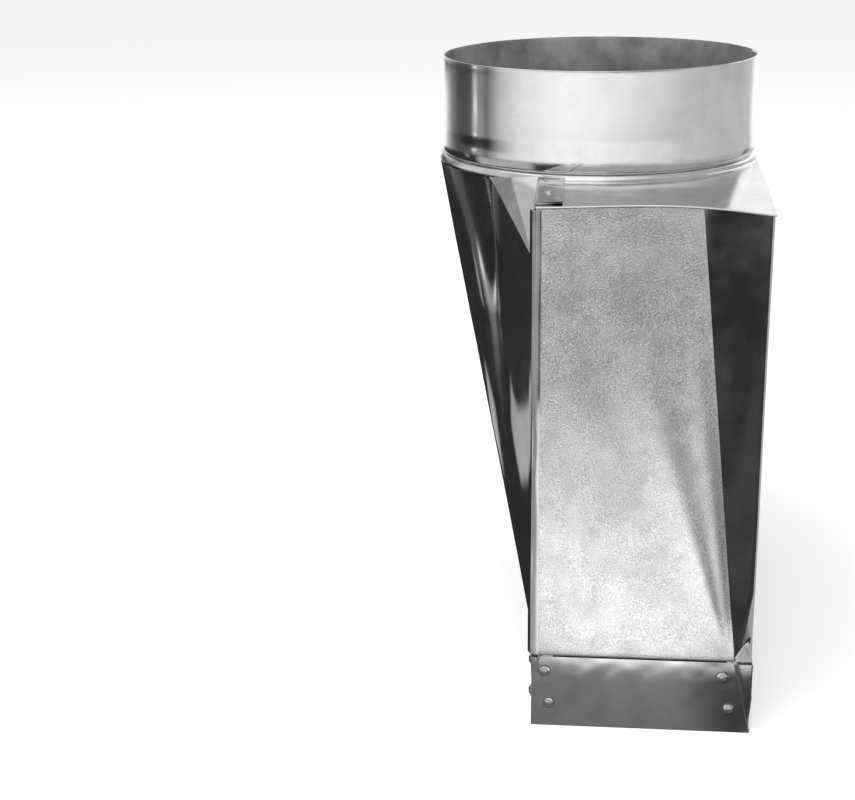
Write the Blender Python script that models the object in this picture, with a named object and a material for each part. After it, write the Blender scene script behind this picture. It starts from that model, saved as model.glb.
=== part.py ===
"""Offset duct transition in galvanised sheet: 150 mm round collar to a 100 x 250 mm
rectangular spigot, flush on one side (+X) and drawn out to the other (-X).

Metres, +Z up. The origin is on the axis of the round collar, in the plane of the open
rectangular end, on which the fitting stands. -Y is the front, +X the flush side.
"""

import math

import bmesh
import bpy
from mathutils import Matrix, Vector

# --- driving dimensions -------------------------------------------------------------
SHEET = 0.0008            # sheet thickness, every piece
GAP = 0.0003              # clearance left between touching sheets
LAYER = SHEET + GAP       # from one sheet's outer face to the next one under it

COLLAR_RADIUS = 0.075     # outside of the round collar
RIM_Z = 0.292             # open round end
BEAD_Z = 0.2492           # crest of the collar's bead
BEAD_HEIGHT = 0.0013      # how far the bead stands out
BEAD_HALF = 0.0024        # half the bead's width along the axis
LIP_STEP = 0.002          # step inward of the collar's lower lip
GROOVE_STEP = 0.0004      # height of that step
GROOVE_IN = 0.0004        # undercut right below the bead
LIP_BELOW = 0.005         # lip inside the body, below the neck ring
SEAM_LAP = 0.009          # overlap of the collar's lengthways seam
SEAM_JOGGLE = 0.0036      # over which its under end steps in by one sheet
COLLAR_STEPS = 64
RING_HEIGHT = 0.0034      # rolled neck ring, right below the collar's bead
RING_PROUD = 0.0016       # its crest past the collar's outside
RING_ROUND = 0.0012       # its rolled edges

DUCT_X = 0.100            # outside of the rectangular end, short side
DUCT_Y = 0.250            # outside of the rectangular end, long side
FLUSH_INSET = 0.0006      # flush side lies this far inside the collar's outside
SPIGOT_HEIGHT = 0.035

EDGE_DROP = 0.0009        # top plates, middle of the outer edge below the neck
TAPER_CORNER_DROP = 0.0012
FLUSH_CORNER_DROP = 0.0037
PLATE_OVERHANG = 0.0006   # top plate past the panel under it
PANEL_FLANGE = 0.008      # panel's top edge, folded in under the plate
FLANGE_CORNER = 0.0032    # and what is left of it at the taper corner

CREASE_BOTTOM = 0.0085    # panel's flush edge, from the flush side at the spigot
CREASE_TOP = 0.030        # and at the top plate
CORNER_IN_BOTTOM = 0.008  # flush side's edge, back from the panel at the spigot
CORNER_IN_TOP = 0.0055    # and at the top plate
CORNER_LAP = 0.009        # flush side sheet under the panel
PANEL_DISH = 0.0012       # hollow of the broad panels
FOLD_SETBACK = 0.020      # where the hollow's soft folds fan out from, below the body
FOLD_RATE = 18.0          # and how close they lie
PANEL_COLUMNS = 12
PANEL_ROWS = 10

LIP_DEPTH = 0.013         # body's lower lip, inside the spigot
JOGGLE = 0.0013           # height of the step from lip to panel
LIP_END = 0.009           # lip ends this far from a corner
STEP_CLEAR = 0.0018       # flush side's lap starts this far above the panel's step

SHOULDER_DROP = 0.024     # foot of the shoulder facet, below the top plate
SHOULDER_ANGLE = 226.0    # where the shoulder facet ends on the neck, degrees
SHOULDER_MID = 238.0
TAB_WIDTH = 0.012         # flap folded over the top plate
TAB_SETBACK = 0.004       # flap's end, back from the plate's edge
WRAP_INSET = 0.0015       # taper wrap's upright edges, behind the broad panels
LOCK_WIDTH = 0.0036       # face of the corner lock
LOCK_RETURN = 0.0035

CUT_FLUSH = 0.0085        # slant of the spigot strips' ends, flush corners
CUT_TAPER = 0.0038        # taper corners
ANGLE_LEG = 0.018         # spigot corner angles
RIVET_UNDER_TOP = 0.0072  # upper rivets, below the spigot's upper edge
RIVET_LOW = 0.0116        # lower rivets, above the open end
RIVET_FLUSH_HIGH = 0.0132  # rivet centres, from the flush corner
RIVET_FLUSH_LOW = 0.0102
RIVET_TAPER_HIGH = 0.0062  # and from the taper corner
RIVET_TAPER_LOW = 0.0084
RIVET_SIDE = 0.012        # on the two short sides
TAB_RIVET_IN = 0.0058     # flap's rivet, from the fold
TAB_RIVET_OUT = 0.62      # share of the way from the neck to the plate's edge
RIVET_HEAD = 0.0030       # radius
RIVET_HEAD_HEIGHT = 0.0012
RIVET_SHANK = 0.0016
RIVET_TAIL = 0.0023
RIVET_TAIL_HEIGHT = 0.0014
RIVET_STEPS = 12
HOLE_REACH = 0.012        # length of the tools that cut the rivet holes

# --- places worked out from them ------------------------------------------------------
FLUSH_X = COLLAR_RADIUS - FLUSH_INSET
TAPER_X = FLUSH_X - DUCT_X
FRONT_Y = -DUCT_Y / 2
BODY_Z = SPIGOT_HEIGHT + GAP + JOGGLE
LIP_OUTER = 2 * LAYER                      # lip's outer face, in from the spigot's
LIP_RADIUS = COLLAR_RADIUS - LIP_STEP
RING_TOP = BEAD_Z - BEAD_HALF - GROOVE_STEP
RING_BOTTOM = RING_TOP - RING_HEIGHT
RING_CREST = COLLAR_RADIUS + RING_PROUD
LIP_Z = RING_BOTTOM - LIP_BELOW            # lower end of the collar's lip
NECK_Z = RING_BOTTOM + 2 * SHEET           # top plates, where they meet the ring
NECK_RADIUS = RING_CREST + GAP
EDGE_Z = NECK_Z - EDGE_DROP
SEAM_Y = FRONT_Y + WRAP_INSET              # taper wrap's front edge
RIVET_HIGH = SPIGOT_HEIGHT - RIVET_UNDER_TOP


def lerp(a, b, t):
    return a + (b - a) * t


def polar(radius, degrees, z):
    a = math.radians(degrees)
    return Vector((radius * math.cos(a), radius * math.sin(a), z))


def material(name, colour, roughness):
    mat = bpy.data.materials.new(name)
    mat.use_nodes = True
    shader = mat.node_tree.nodes["Principled BSDF"]
    shader.inputs["Base Color"].default_value = (*colour, 1.0)
    shader.inputs["Metallic"].default_value = 1.0
    shader.inputs["Roughness"].default_value = roughness
    return mat


def add_object(name, mesh, mat, sharp=35.0):
    mesh.materials.append(mat)
    mesh.shade_smooth()
    mesh.set_sharp_from_angle(angle=math.radians(sharp))
    obj = bpy.data.objects.new(name, mesh)
    bpy.context.collection.objects.link(obj)
    return obj


def mirrored(points):
    """The same outline on the back, in the order that keeps its faces outward."""
    return [Vector((p.x, -p.y, p.z)) for p in reversed(points)]


def bend_sheet(name, points, faces, mat, holes=(), exact_corners=False):
    """A thin sheet: its outer face is given, and its thickness goes inward."""
    mesh = bpy.data.meshes.new(name)
    used = sorted({i for face in faces for i in face})
    index = {old: new for new, old in enumerate(used)}
    verts = [points[i] for i in used]
    mesh.from_pydata(verts, [], [[index[i] for i in face] for face in faces])
    obj = add_object(name, mesh, mat)
    wall = obj.modifiers.new("thickness", "SOLIDIFY")
    wall.thickness = SHEET
    wall.offset = -1.0
    if exact_corners:
        wall.solidify_mode = "NON_MANIFOLD"
        wall.nonmanifold_thickness_mode = "CONSTRAINTS"
        wall.nonmanifold_merge_threshold = 0.00001
    else:
        wall.use_even_offset = True
    for number, (centre, axis) in enumerate(holes):
        cutter = hole_cutter(f"{name}_hole_{number}", centre, axis)
        cut = obj.modifiers.new(f"hole_{number}", "BOOLEAN")
        cut.operation = "DIFFERENCE"
        cut.object = cutter
    return obj


def grid_sheet(name, rows, mat, holes=(), skip=()):
    """A sheet through rows of points of one length; skip names cells left out."""
    width = len(rows[0])
    points = [p for row in rows for p in row]
    faces = []
    for j in range(len(rows) - 1):
        for i in range(width - 1):
            if (j, i) in skip:
                continue
            a = j * width + i
            faces.append([a, a + 1, a + width + 1, a + width])
    return bend_sheet(name, points, faces, mat, holes)


def axis_matrix(centre, axis):
    turn = Vector((0, 0, 1)).rotation_difference(Vector(axis)).to_matrix().to_4x4()
    return Matrix.Translation(centre) @ turn


def hole_cutter(name, centre, axis):
    mesh = bpy.data.meshes.new(name)
    bm = bmesh.new()
    radius = RIVET_SHANK + GAP
    bmesh.ops.create_cone(
        bm, cap_ends=True, segments=RIVET_STEPS, radius1=radius, radius2=radius,
        depth=HOLE_REACH, matrix=axis_matrix(centre, axis),
    )
    bm.to_mesh(mesh)
    bm.free()
    cutter = bpy.data.objects.new(name, mesh)
    bpy.context.collection.objects.link(cutter)
    cutter.hide_render = True
    cutter.display_type = "WIRE"
    return cutter


def turned(bm, outline, steps, matrix):
    """Revolve a closed half outline of (radius, height) points about local Z."""
    rings = []
    for radius, height in outline:
        if radius == 0.0:
            rings.append([bm.verts.new(matrix @ Vector((0, 0, height)))])
            continue
        spots = [polar(radius, 360.0 * k / steps, height) for k in range(steps)]
        rings.append([bm.verts.new(matrix @ spot) for spot in spots])
    for low, high in zip(rings, rings[1:]):
        for k in range(steps):
            n = (k + 1) % steps
            if len(low) == 1:
                bm.faces.new((low[0], high[n], high[k]))
            elif len(high) == 1:
                bm.faces.new((low[k], low[n], high[0]))
            else:
                bm.faces.new((low[k], low[n], high[n], high[k]))


def rivet_outline(grip):
    """Blind rivet from its tail to its domed head; height 0 is the sheet's outer face."""
    tail_top = -grip - GAP
    head = [
        (RIVET_HEAD, GAP),
        (RIVET_HEAD * 0.96, GAP + RIVET_HEAD_HEIGHT * 0.40),
        (RIVET_HEAD * 0.72, GAP + RIVET_HEAD_HEIGHT * 0.82),
        (RIVET_HEAD * 0.36, GAP + RIVET_HEAD_HEIGHT),
        (0.0, GAP + RIVET_HEAD_HEIGHT),
    ]
    tail = [
        (0.0, tail_top - RIVET_TAIL_HEIGHT),
        (RIVET_TAIL * 0.7, tail_top - RIVET_TAIL_HEIGHT),
        (RIVET_TAIL, tail_top - RIVET_TAIL_HEIGHT * 0.5),
        (RIVET_TAIL, tail_top),
        (RIVET_SHANK, tail_top),
        (RIVET_SHANK, GAP),
    ]
    return tail + head


def rivets(name, places, mat):
    """Separate blind rivets, numbered: (outer face point, outward axis, grip) each."""
    for number, (centre, axis, grip) in enumerate(places, 1):
        mesh = bpy.data.meshes.new(f"{name}_{number}")
        bm = bmesh.new()
        turned(bm, rivet_outline(grip), RIVET_STEPS, axis_matrix(centre, axis))
        bm.to_mesh(mesh)
        bm.free()
        add_object(mesh.name, mesh, mat, 50.0)


# --- round end ------------------------------------------------------------------------
def collar_profile():
    """Outer face of the collar from the rim down: wall, bead, groove, stepped lip."""
    points = [(COLLAR_RADIUS, RIM_Z), (COLLAR_RADIUS, BEAD_Z + BEAD_HALF)]
    for degrees in (40, 70, 90, 110, 140):
        a = math.radians(degrees)
        points.append((
            COLLAR_RADIUS + BEAD_HEIGHT * math.sin(a) ** 2,
            BEAD_Z + BEAD_HALF * math.cos(a),
        ))
    points.append((COLLAR_RADIUS - GROOVE_IN, BEAD_Z - BEAD_HALF))
    points.append((LIP_RADIUS, RING_TOP))
    points.append((LIP_RADIUS, LIP_Z))
    return points


def round_collar(mat):
    lap = math.degrees(SEAM_LAP / COLLAR_RADIUS)
    joggle = math.degrees(SEAM_JOGGLE / COLLAR_RADIUS)
    step = 360.0 / COLLAR_STEPS
    angles = [k * step for k in range(COLLAR_STEPS) if k * step < 360.0 - joggle]
    angles += [360.0 - joggle, 360.0, 360.0 + lap]
    rows = []
    for radius, z in collar_profile():
        row = []
        for a in reversed(angles):
            under = LAYER if a >= 360.0 else 0.0
            row.append(polar(radius - under, a, z))
        rows.append(row)
    return grid_sheet("round_collar", rows, mat)


def neck_ring(mat):
    """Rolled ring that clinches the collar's lip into the body, a C in section."""
    inner = LIP_RADIUS + GAP
    wall = RING_CREST - SHEET
    top = RING_TOP - GAP
    outline = [
        (inner, top),
        (RING_CREST - RING_ROUND, top),
        (RING_CREST, top - RING_ROUND),
        (RING_CREST, RING_BOTTOM + RING_ROUND),
        (RING_CREST - RING_ROUND, RING_BOTTOM),
        (wall - SHEET, RING_BOTTOM + SHEET * 0.75),
        (wall, RING_BOTTOM + SHEET * 1.75),
        (wall, top - SHEET * 1.9),
        (wall - SHEET, top - SHEET),
        (inner, top - SHEET),
    ]
    mesh = bpy.data.meshes.new("neck_ring")
    bm = bmesh.new()
    rings = []
    for radius, z in outline:
        spots = [polar(radius, 360.0 * k / COLLAR_STEPS, z) for k in range(COLLAR_STEPS)]
        rings.append([bm.verts.new(spot) for spot in spots])
    for j, ring in enumerate(rings):
        below = rings[(j + 1) % len(rings)]
        for k in range(COLLAR_STEPS):
            n = (k + 1) % COLLAR_STEPS
            bm.faces.new((ring[k], below[k], below[n], ring[n]))
    bm.to_mesh(mesh)
    bm.free()
    return add_object("neck_ring", mesh, mat)


# --- body -------------------------------------------------------------------------------
def edge_height(x):
    """Top plate's outer edge: arched, lower at both corners and most at the flush one."""
    t = (x - TAPER_X) / DUCT_X
    rise = math.sin(math.pi * t)
    corners = lerp(TAPER_CORNER_DROP, FLUSH_CORNER_DROP, t ** 2)
    return EDGE_Z - corners * (1.0 - rise ** 1.3)


def crease_x(z):
    """Flush edge of the broad panel, slanting away from the corner going up."""
    t = (z - SPIGOT_HEIGHT) / (NECK_Z - SPIGOT_HEIGHT)
    return FLUSH_X - lerp(CREASE_BOTTOM, CREASE_TOP, t)


def corner_in(z):
    t = (z - SPIGOT_HEIGHT) / (NECK_Z - SPIGOT_HEIGHT)
    return lerp(CORNER_IN_BOTTOM, CORNER_IN_TOP, t)


def panel_hollow(x, z):
    """Hollow of a broad panel, with folds that fan out from its flush lower corner."""
    across = min(max((x - TAPER_X) / (crease_x(z) - TAPER_X), 0.0), 1.0)
    up = min(max((z - BODY_Z) / (EDGE_Z - BODY_Z), 0.0), 1.0)
    hollow = math.sin(math.pi * across) * math.sin(math.pi * up)
    turn = math.atan2(FLUSH_X - x, z - SPIGOT_HEIGHT + FOLD_SETBACK)
    fan = 0.5 + 0.5 * math.cos(turn * FOLD_RATE)
    return PANEL_DISH * hollow * lerp(0.55, 1.0, fan)


def broad_panel(name, mat, back, holes):
    """Front or back panel: lip, step, hollow panel and a flange under the top plate."""
    left = TAPER_X + LAYER
    shares = [i / PANEL_COLUMNS for i in range(PANEL_COLUMNS + 1)]
    lip_end = crease_x(BODY_Z) - GAP - LIP_END / 3
    rows = []
    for z in (SPIGOT_HEIGHT - LIP_DEPTH, SPIGOT_HEIGHT + GAP):
        xs = [lerp(left + LIP_END, lip_end, t) for t in shares]
        rows.append([Vector((x, FRONT_Y + LIP_OUTER, z)) for x in xs])
    for j in range(PANEL_ROWS + 1):
        row = []
        for t in shares:
            top = edge_height(lerp(left, crease_x(EDGE_Z), t)) - LAYER
            z = lerp(BODY_Z, top, j / PANEL_ROWS)
            x = lerp(left, crease_x(z), t)
            row.append(Vector((x, FRONT_Y + panel_hollow(x, z), z)))
        rows.append(row)
    flange = []
    for p in rows[-1]:
        inset = min((p.x - left) / PANEL_FLANGE, 1.0)
        reach = lerp(FLANGE_CORNER, PANEL_FLANGE, inset)
        flange.append(Vector((p.x, FRONT_Y + reach, p.z)))
    rows.append(flange)
    if back:
        rows = [mirrored(row) for row in rows]
    return grid_sheet(name, rows, mat, holes)


def side_top(x, y):
    """Top of the flush side sheet: under the top plate, and under the neck ring."""
    plate = lerp(edge_height(min(x, FLUSH_X)), NECK_Z, (y - FRONT_Y) / -FRONT_Y)
    return min(plate - LAYER, RING_BOTTOM - GAP)


def flush_side_panel(mat, holes):
    """Flush side sheet, its ends bent round both corners and lapped under the panels."""
    def outline(z):
        under = FRONT_Y + LAYER + PANEL_DISH * 0.4
        crease = crease_x(z)
        edge = FRONT_Y + corner_in(z)
        return [
            Vector((crease - CORNER_LAP, under, z)),
            Vector((crease, under, z)),
            Vector((lerp(crease, FLUSH_X, 0.6), lerp(under, edge, 0.5), z)),
            Vector((FLUSH_X, edge, z)),
        ]
    cuts = (-0.085, -0.05, -0.02, 0.0)
    rows = []
    for j in range(9):
        front = []
        for k, p in enumerate(outline(EDGE_Z)):
            under_panel = k < 2
            low = BODY_Z + (STEP_CLEAR if under_panel else 0.0)
            top = side_top(p.x, p.y) - (LAYER if under_panel else 0.0)
            front.append(outline(lerp(low, top, j / 8))[k])
        for y in cuts:
            front.append(Vector((FLUSH_X, y, lerp(BODY_Z, side_top(FLUSH_X, y), j / 8))))
        rows.append(front + mirrored(front[:-1]))
    width = len(rows[0])
    lips = []
    for z in (SPIGOT_HEIGHT - LIP_DEPTH, SPIGOT_HEIGHT + GAP):
        row = []
        for p in rows[0]:
            limit = -FRONT_Y - LIP_END
            row.append(Vector((FLUSH_X - LIP_OUTER, min(max(p.y, -limit), limit), z)))
        lips.append(row)
    side = range(3, width - 4)
    skip = {(j, i) for j in (0, 1) for i in range(width - 1) if i not in side}
    return grid_sheet("flush_side_panel", lips + rows, mat, holes, skip)


def plate_point(x, t):
    """Point of the front top plate: t = 0 on the neck, 1 on the outer edge."""
    near = -math.sqrt(NECK_RADIUS ** 2 - x * x)
    y = lerp(near, FRONT_Y - PLATE_OVERHANG, t)
    return Vector((x, y, lerp(NECK_Z, edge_height(x), t)))


def top_plate(name, mat, back, holes):
    columns = 20
    first = math.acos((TAPER_X + LAYER) / NECK_RADIUS)
    last = math.acos(FLUSH_X / NECK_RADIUS)
    across = [NECK_RADIUS * math.cos(lerp(first, last, i / columns)) for i in range(columns + 1)]
    rows = [[plate_point(x, t) for x in across] for t in (0.0, 0.5, 1.0)]
    rows.reverse()
    if back:
        rows = [mirrored(row) for row in rows]
    return grid_sheet(name, rows, mat, holes)


def taper_wrap(mat, holes):
    """The sheet that draws the body out to the round: flat middle, two cones, two
    upright facets, two shoulders, and flaps folded over the top plates."""
    neck = NECK_RADIUS + SHEET
    top = RING_BOTTOM - GAP
    corner_z = edge_height(TAPER_X) + LAYER
    foot_z = corner_z - SHOULDER_DROP
    arc_steps = 12
    points = []
    faces = []

    def add(p):
        points.append(p)
        return len(points) - 1

    def both(p):
        return add(p), add(Vector((p.x, -p.y, p.z)))

    low = both(Vector((TAPER_X, SEAM_Y, BODY_Z)))
    foot = both(Vector((TAPER_X, SEAM_Y, foot_z)))
    crest = both(Vector((TAPER_X, SEAM_Y, corner_z)))
    arc = []
    for k in range(arc_steps + 1):
        degrees = lerp(180.0, SHOULDER_ANGLE, k / arc_steps)
        p = polar(RING_CREST, degrees, top)
        arc.append((add(p),) * 2 if k == 0 else both(p))
    middle = both(polar(neck, SHOULDER_MID, lerp(top, NECK_Z, 0.75)))
    inner_y = -math.sqrt((neck + GAP) ** 2 - TAPER_X ** 2)
    meet = both(Vector((TAPER_X, inner_y, NECK_Z + LAYER)))
    tab_x = TAPER_X + TAB_WIDTH
    tab_y = FRONT_Y + TAB_SETBACK
    near_y = plate_point(tab_x, 0.0).y
    far_y = plate_point(tab_x, 1.0).y
    tab_z = lerp(NECK_Z, edge_height(tab_x), (tab_y - near_y) / (far_y - near_y)) + LAYER
    flap_out = both(Vector((tab_x, tab_y, tab_z)))
    flap_y = -math.sqrt((neck + GAP) ** 2 - tab_x ** 2)
    flap_in = both(Vector((tab_x, flap_y, NECK_Z + LAYER)))
    edge_out = both(Vector((TAPER_X, tab_y, corner_z)))

    ends = both(Vector((TAPER_X, FRONT_Y + LIP_END, BODY_Z)))
    lip_x = TAPER_X + LIP_OUTER
    step = both(Vector((lip_x, FRONT_Y + LIP_END, SPIGOT_HEIGHT + GAP)))
    lip = both(Vector((lip_x, FRONT_Y + LIP_END, SPIGOT_HEIGHT - LIP_DEPTH)))

    loops = [(low, b, a) for a, b in zip(arc, arc[1:])]
    loops += [
        (low, foot, arc[-1]),
        (foot, middle, arc[-1]),
        (foot, meet, middle),
        (foot, crest, edge_out),
        (foot, edge_out, meet),
        (edge_out, flap_out, flap_in, meet),
        (low, arc[0], ends),
    ]
    for loop in loops:
        faces.append([pair[0] for pair in loop])
        faces.append([pair[1] for pair in reversed(loop)])
    faces.append([ends[0], arc[0][0], ends[1]])
    faces.append([step[0], ends[0], ends[1], step[1]])
    faces.append([lip[0], step[0], step[1], lip[1]])
    return bend_sheet("taper_wrap", points, faces, mat, holes, exact_corners=True)


def corner_lock(name, mat, back):
    """Folded strip that locks the wrap to a broad panel along their corner."""
    face_y = FRONT_Y - LAYER
    run = polar(NECK_RADIUS, SHOULDER_ANGLE, 0.0) - Vector((TAPER_X, SEAM_Y, 0))
    run.normalize()
    outward = Vector((-run.y, run.x, 0))
    start = Vector((TAPER_X, SEAM_Y, 0)) + outward * LAYER
    corner = start + run * ((face_y - start.y) / run.y)
    rows = []
    for z in (BODY_Z + GAP, edge_height(TAPER_X) - LAYER - GAP):
        edge = Vector((corner.x, corner.y, z))
        row = [
            edge + run * LOCK_RETURN,
            edge + run * SHEET,
            edge + Vector((SHEET, 0, 0)),
            edge + Vector((LOCK_WIDTH, 0, 0)),
        ]
        rows.append(mirrored(row) if back else row)
    return grid_sheet(name, rows, mat)


# --- rectangular end -----------------------------------------------------------------
def end_cut(cut, height, start):
    return start + cut * height / SPIGOT_HEIGHT


def spigot_broad(name, mat, back, holes):
    """Front or back strip of the spigot; its ends slant back towards the body."""
    rows = []
    for z in (0.0, SPIGOT_HEIGHT / 2, SPIGOT_HEIGHT):
        a = TAPER_X + end_cut(CUT_TAPER, z, GAP)
        b = FLUSH_X - end_cut(CUT_FLUSH, z, GAP)
        row = [Vector((lerp(a, b, i / 4), FRONT_Y, z)) for i in range(5)]
        rows.append(mirrored(row) if back else row)
    return grid_sheet(name, rows, mat, holes)


def spigot_side(name, mat, x, cut, holes):
    rows = []
    for z in (0.0, SPIGOT_HEIGHT / 2, SPIGOT_HEIGHT):
        y = FRONT_Y + end_cut(cut, z, LAYER)
        row = [Vector((x, lerp(y, -y, i / 4), z)) for i in range(5)]
        rows.append(row if x > 0 else list(reversed(row)))
    return grid_sheet(name, rows, mat, holes)


def corner_angle(name, mat, x, back, holes):
    """Angle inside a spigot corner, under both strips."""
    inward = -1 if x > 0 else 1
    cx = x + inward * LAYER
    cy = FRONT_Y + LAYER
    rows = []
    for z in (GAP, SPIGOT_HEIGHT - 2 * GAP):
        row = [
            Vector((cx + inward * ANGLE_LEG, cy, z)),
            Vector((cx, cy, z)),
            Vector((cx, cy + ANGLE_LEG, z)),
        ]
        if inward == 1:
            row.reverse()
        rows.append(mirrored(row) if back else row)
    return grid_sheet(name, rows, mat, holes)


def front_rivet_places(back):
    """Two at each end: (point on the outer face, outward axis, grip)."""
    y = -FRONT_Y if back else FRONT_Y
    axis = Vector((0, 1 if back else -1, 0))
    grip_high = 2 * LAYER + SHEET
    grip_low = LAYER + SHEET
    return [
        (Vector((TAPER_X + RIVET_TAPER_HIGH, y, RIVET_HIGH)), axis, grip_low),
        (Vector((TAPER_X + RIVET_TAPER_LOW, y, RIVET_LOW)), axis, grip_low),
        (Vector((FLUSH_X - RIVET_FLUSH_HIGH, y, RIVET_HIGH)), axis, grip_high),
        (Vector((FLUSH_X - RIVET_FLUSH_LOW, y, RIVET_LOW)), axis, grip_low),
    ]


def side_rivet_places(x):
    axis = Vector((1 if x > 0 else -1, 0, 0))
    places = []
    for y in (FRONT_Y + RIVET_SIDE, -FRONT_Y - RIVET_SIDE):
        places.append((Vector((x, y, RIVET_HIGH)), axis, 2 * LAYER + SHEET))
        places.append((Vector((x, y, RIVET_LOW)), axis, LAYER + SHEET))
    return places


def near(places, x=None, y=None, high=None):
    """Holes for the rivets on one side of the part or at one height."""
    chosen = []
    for centre, axis, _ in places:
        if x is not None and (centre.x > 0) != (x > 0):
            continue
        if y is not None and (centre.y > 0) != (y > 0):
            continue
        if high is not None and (centre.z > SPIGOT_HEIGHT / 2) != high:
            continue
        chosen.append((centre, axis))
    return chosen


def tab_rivet_place(back):
    point = plate_point(TAPER_X + TAB_RIVET_IN, TAB_RIVET_OUT)
    side = -1 if back else 1
    place = Vector((point.x, side * point.y, point.z + LAYER))
    return place, Vector((0, 0, 1)), LAYER + SHEET


def build():
    for obj in list(bpy.data.objects):
        bpy.data.objects.remove(obj)
    bright = material("galvanised_bright", (0.62, 0.63, 0.64), 0.28)
    matt = material("galvanised_matt", (0.60, 0.61, 0.62), 0.42)
    steel = material("rivet_steel", (0.72, 0.72, 0.72), 0.22)

    front = front_rivet_places(False)
    back = front_rivet_places(True)
    flush = side_rivet_places(FLUSH_X)
    taper = side_rivet_places(TAPER_X)
    tab_front = tab_rivet_place(False)
    tab_back = tab_rivet_place(True)

    round_collar(bright)
    neck_ring(bright)
    top_plate("top_plate_front", bright, False, [tab_front[:2]])
    top_plate("top_plate_back", bright, True, [tab_back[:2]])
    broad_panel("front_panel", matt, False, near(front, x=1, high=True))
    broad_panel("back_panel", matt, True, near(back, x=1, high=True))
    flush_side_panel(bright, near(flush, high=True))
    taper_wrap(bright, [tab_front[:2], tab_back[:2]] + near(taper, high=True))
    corner_lock("front_corner_lock", bright, False)
    corner_lock("back_corner_lock", bright, True)

    spigot_broad("spigot_front", bright, False, near(front))
    spigot_broad("spigot_back", bright, True, near(back))
    spigot_side("spigot_flush_side", bright, FLUSH_X, CUT_FLUSH, near(flush))
    spigot_side("spigot_taper_side", bright, TAPER_X, CUT_TAPER, near(taper))
    corners = (
        ("corner_angle_front_flush", FLUSH_X, False, near(front, x=1) + near(flush, y=-1)),
        ("corner_angle_front_taper", TAPER_X, False, near(front, x=-1) + near(taper, y=-1)),
        ("corner_angle_back_flush", FLUSH_X, True, near(back, x=1) + near(flush, y=1)),
        ("corner_angle_back_taper", TAPER_X, True, near(back, x=-1) + near(taper, y=1)),
    )
    for name, x, is_back, holes in corners:
        corner_angle(name, bright, x, is_back, holes)

    rivets("rivet_spigot_front", front, steel)
    rivets("rivet_spigot_back", back, steel)
    rivets("rivet_spigot_flush_side", flush, steel)
    rivets("rivet_spigot_taper_side", taper, steel)
    rivets("rivet_tab", [tab_front, tab_back], steel)


build()
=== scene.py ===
import math

import bmesh
import bpy
import numpy as np
from mathutils import Matrix, Vector, noise


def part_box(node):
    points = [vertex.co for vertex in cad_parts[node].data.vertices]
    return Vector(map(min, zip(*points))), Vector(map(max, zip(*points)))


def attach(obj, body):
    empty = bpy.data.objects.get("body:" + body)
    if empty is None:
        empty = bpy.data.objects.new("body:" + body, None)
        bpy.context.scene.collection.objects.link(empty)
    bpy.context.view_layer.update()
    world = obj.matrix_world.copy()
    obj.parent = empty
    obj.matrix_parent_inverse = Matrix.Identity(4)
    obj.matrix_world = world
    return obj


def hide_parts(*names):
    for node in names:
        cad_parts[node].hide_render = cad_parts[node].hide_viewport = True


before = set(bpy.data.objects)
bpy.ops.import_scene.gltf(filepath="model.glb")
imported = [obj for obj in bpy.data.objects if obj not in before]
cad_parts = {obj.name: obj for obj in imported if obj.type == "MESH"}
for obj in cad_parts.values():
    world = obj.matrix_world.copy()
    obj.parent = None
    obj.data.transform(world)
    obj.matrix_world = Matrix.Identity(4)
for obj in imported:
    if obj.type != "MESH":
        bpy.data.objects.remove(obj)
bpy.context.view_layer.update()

# --- sizes of the fitting, in metres ---
SHEET = 0.0008
THIN_SHEET = 0.0005  # the spigot's strips
GAP = 0.0003  # left between sheets that touch on the real fitting
LAYER = SHEET + GAP
CUT_EDGE = 0.00015  # bevel on a sheet's cut edges
FINE_EDGE = 0.0001  # the same on the top plates
THIN_EDGE = 0.00006  # the same on the spigot's strips and angles
INSIDE = Vector((0.02, 0.0, 0.14))  # a point in the duct; every sheet's outer face looks away

# round end
COLLAR_RADIUS = 0.075
NECK_RADIUS = 0.0769  # the hole in the top plates
LIP_RADIUS = 0.073  # the collar's stepped lip inside the body
SEAM_LAP = 0.009  # the collar strip's ends lie over each other
SEAM_JOGGLE = 0.0036  # length of the step that sets the inner end in
RIM_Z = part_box("round_collar")[1].z
LIP_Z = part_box("round_collar")[0].z
BEAD_START = 0.261  # the straight wall ends and the bead begins to swell
RING_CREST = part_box("neck_ring")[1].x
RING_LOW, RING_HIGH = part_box("neck_ring")[0].z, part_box("neck_ring")[1].z

# rectangular end
FLUSH_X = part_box("spigot_flush_side")[1].x
TAPER_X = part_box("spigot_taper_side")[0].x
FRONT_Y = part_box("spigot_front")[0].y
BAND_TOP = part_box("spigot_front")[1].z
STRIP_FOOT = 0.00006  # lower edge of the strips
STRIP_IN = 0.00025  # their middle lies this far in, for their waves
FLUSH_CUT = 0.0085  # the strips' ends slant back this far, flush side
TAPER_CUT = 0.0038  # the same on the taper side
ANGLE_LEG = 0.018  # legs of the corner angles

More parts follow.
